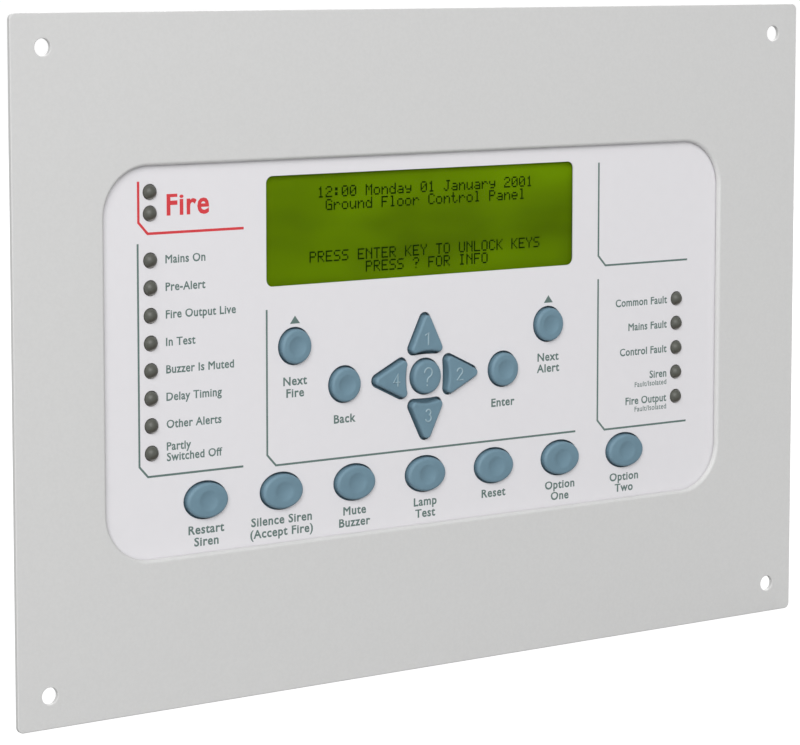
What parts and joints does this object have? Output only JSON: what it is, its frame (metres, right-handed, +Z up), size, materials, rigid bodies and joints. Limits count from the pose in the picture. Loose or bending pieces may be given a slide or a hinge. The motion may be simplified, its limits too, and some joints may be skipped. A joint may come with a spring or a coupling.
{
  "type": "fire alarm control panel front plate",
  "caption": "Flat steel front plate with a cut-out that holds a printed fascia, lamps, rubber keys and a display, with circuit boards behind.",
  "frame": {"origin": "centre of the four corner holes, on the back face of the front plate", "axes": "+X to the right across the plate as seen from the front, +Y into the enclosure behind the plate, +Z up"},
  "size_m": [0.32, 0.0482, 0.223],
  "materials": {
    "plate_paint": "light grey powder coat with a fine texture",
    "copper_plated_steel": "copper flashed weld stud",
    "zinc_plated_steel": "bright zinc plate",
    "brass_nut": "plain brass",
    "printed_fascia": "fine matt film with screen print",
    "galvanised_steel": "galvanised sheet",
    "clear_pane": "clear polycarbonate",
    "black_bezel": "black oxide sheet",
    "lcd_green": "yellow-green display glass",
    "backlight_white": "milky light guide",
    "board_green": "green solder mask",
    "chip_black": "moulded epoxy",
    "mat_rubber": "silicone sheet",
    "gold_contact": "gold flashed pad",
    "lamp_dome": "smoked clear epoxy",
    "terminal_green": "moulded polyamide",
    "relay_case": "moulded case",
    "holder_black": "moulded holder",
    "fuse_glass": "glass tube with end caps",
    "buzzer_black": "moulded case",
    "capacitor_sleeve": "shrink sleeve",
    "inductor_copper": "enamelled copper winding",
    "black_aluminium": "black anodised",
    "cell_steel": "stainless can",
    "connector_black": "moulded header",
    "connector_grey": "moulded socket",
    "ribbon_grey": "ribbon cable insulation",
    "key_rubber": "matt grey-blue silicone"
  },
  "bodies": {
    "panel": {"front_plate": "plate_paint", "plate_studs": "copper_plated_steel", "stud_nuts": "zinc_plated_steel", "earth_stud": "copper_plated_steel", "earth_nuts": "brass_nut", "fascia_overlay": "printed_fascia", "fascia_carrier": "galvanised_steel", "display_window": "clear_pane", "lcd_bezel": "black_bezel", "lcd_glass": "lcd_green", "lcd_backlight": "backlight_white", "lcd_board": "board_green", "lcd_driver_chips": "chip_black", "lcd_spacers": "zinc_plated_steel", "lcd_screws": "zinc_plated_steel", "keypad_mat": "mat_rubber", "key_contacts": "gold_contact", "fire_leds": "lamp_dome", "status_leds": "lamp_dome", "fault_leds": "lamp_dome", "display_board": "board_green", "board_pillars": "zinc_plated_steel", "board_screws": "zinc_plated_steel", "hex_standoffs": "zinc_plated_steel", "control_board": "board_green", "control_board_screws": "zinc_plated_steel", "terminal_blocks": "terminal_green", "terminal_screws": "zinc_plated_steel", "relays": "relay_case", "fuse_holders": "holder_black", "fuses": "fuse_glass", "processor": "chip_black", "support_chips": "chip_black", "buzzer": "buzzer_black", "capacitors": "capacitor_sleeve", "inductor": "inductor_copper", "heat_sink": "black_aluminium", "voltage_regulator": "chip_black", "cell_holder": "holder_black", "coin_cell": "cell_steel", "ribbon_headers": "connector_black", "ribbon_sockets": "connector_grey", "ribbon_cable": "ribbon_grey"},
    "key_more_fires": {"key_more_fires": "key_rubber"},
    "key_more_events": {"key_more_events": "key_rubber"},
    "key_exit": {"key_exit": "key_rubber"},
    "key_enter": {"key_enter": "key_rubber"},
    "key_up": {"key_up": "key_rubber"},
    "key_right": {"key_right": "key_rubber"},
    "key_down": {"key_down": "key_rubber"},
    "key_left": {"key_left": "key_rubber"},
    "key_help": {"key_help": "key_rubber"},
    "key_resound": {"key_resound": "key_rubber"},
    "key_silence_alarm": {"key_silence_alarm": "key_rubber"},
    "key_silence_buzzer": {"key_silence_buzzer": "key_rubber"},
    "key_lamp_test": {"key_lamp_test": "key_rubber"},
    "key_reset": {"key_reset": "key_rubber"},
    "key_function_one": {"key_function_one": "key_rubber"},
    "key_function_two": {"key_function_two": "key_rubber"}
  },
  "joints": [
    {"name": "more_fires_press", "type": "slide", "parent": "panel", "child": "key_more_fires", "axis": [0, 1, 0], "range_m": [0, 0.0008], "stiffness_N_per_m": 1200},
    {"name": "more_events_press", "type": "slide", "parent": "panel", "child": "key_more_events", "axis": [0, 1, 0], "range_m": [0, 0.0008], "stiffness_N_per_m": 1200},
    {"name": "exit_press", "type": "slide", "parent": "panel", "child": "key_exit", "axis": [0, 1, 0], "range_m": [0, 0.0008], "stiffness_N_per_m": 1200},
    {"name": "enter_press", "type": "slide", "parent": "panel", "child": "key_enter", "axis": [0, 1, 0], "range_m": [0, 0.0008], "stiffness_N_per_m": 1200},
    {"name": "up_press", "type": "slide", "parent": "panel", "child": "key_up", "axis": [0, 1, 0], "range_m": [0, 0.0008], "stiffness_N_per_m": 1200},
    {"name": "right_press", "type": "slide", "parent": "panel", "child": "key_right", "axis": [0, 1, 0], "range_m": [0, 0.0008], "stiffness_N_per_m": 1200},
    {"name": "down_press", "type": "slide", "parent": "panel", "child": "key_down", "axis": [0, 1, 0], "range_m": [0, 0.0008], "stiffness_N_per_m": 1200},
    {"name": "left_press", "type": "slide", "parent": "panel", "child": "key_left", "axis": [0, 1, 0], "range_m": [0, 0.0008], "stiffness_N_per_m": 1200},
    {"name": "help_press", "type": "slide", "parent": "panel", "child": "key_help", "axis": [0, 1, 0], "range_m": [0, 0.0008], "stiffness_N_per_m": 1200},
    {"name": "resound_press", "type": "slide", "parent": "panel", "child": "key_resound", "axis": [0, 1, 0], "range_m": [0, 0.0008], "stiffness_N_per_m": 1200},
    {"name": "silence_alarm_press", "type": "slide", "parent": "panel", "child": "key_silence_alarm", "axis": [0, 1, 0], "range_m": [0, 0.0008], "stiffness_N_per_m": 1200},
    {"name": "silence_buzzer_press", "type": "slide", "parent": "panel", "child": "key_silence_buzzer", "axis": [0, 1, 0], "range_m": [0, 0.0008], "stiffness_N_per_m": 1200},
    {"name": "lamp_test_press", "type": "slide", "parent": "panel", "child": "key_lamp_test", "axis": [0, 1, 0], "range_m": [0, 0.0008], "stiffness_N_per_m": 1200},
    {"name": "reset_press", "type": "slide", "parent": "panel", "child": "key_reset", "axis": [0, 1, 0], "range_m": [0, 0.0008], "stiffness_N_per_m": 1200},
    {"name": "function_one_press", "type": "slide", "parent": "panel", "child": "key_function_one", "axis": [0, 1, 0], "range_m": [0, 0.0008], "stiffness_N_per_m": 1200},
    {"name": "function_two_press", "type": "slide", "parent": "panel", "child": "key_function_two", "axis": [0, 1, 0], "range_m": [0, 0.0008], "stiffness_N_per_m": 1200}
  ]
}
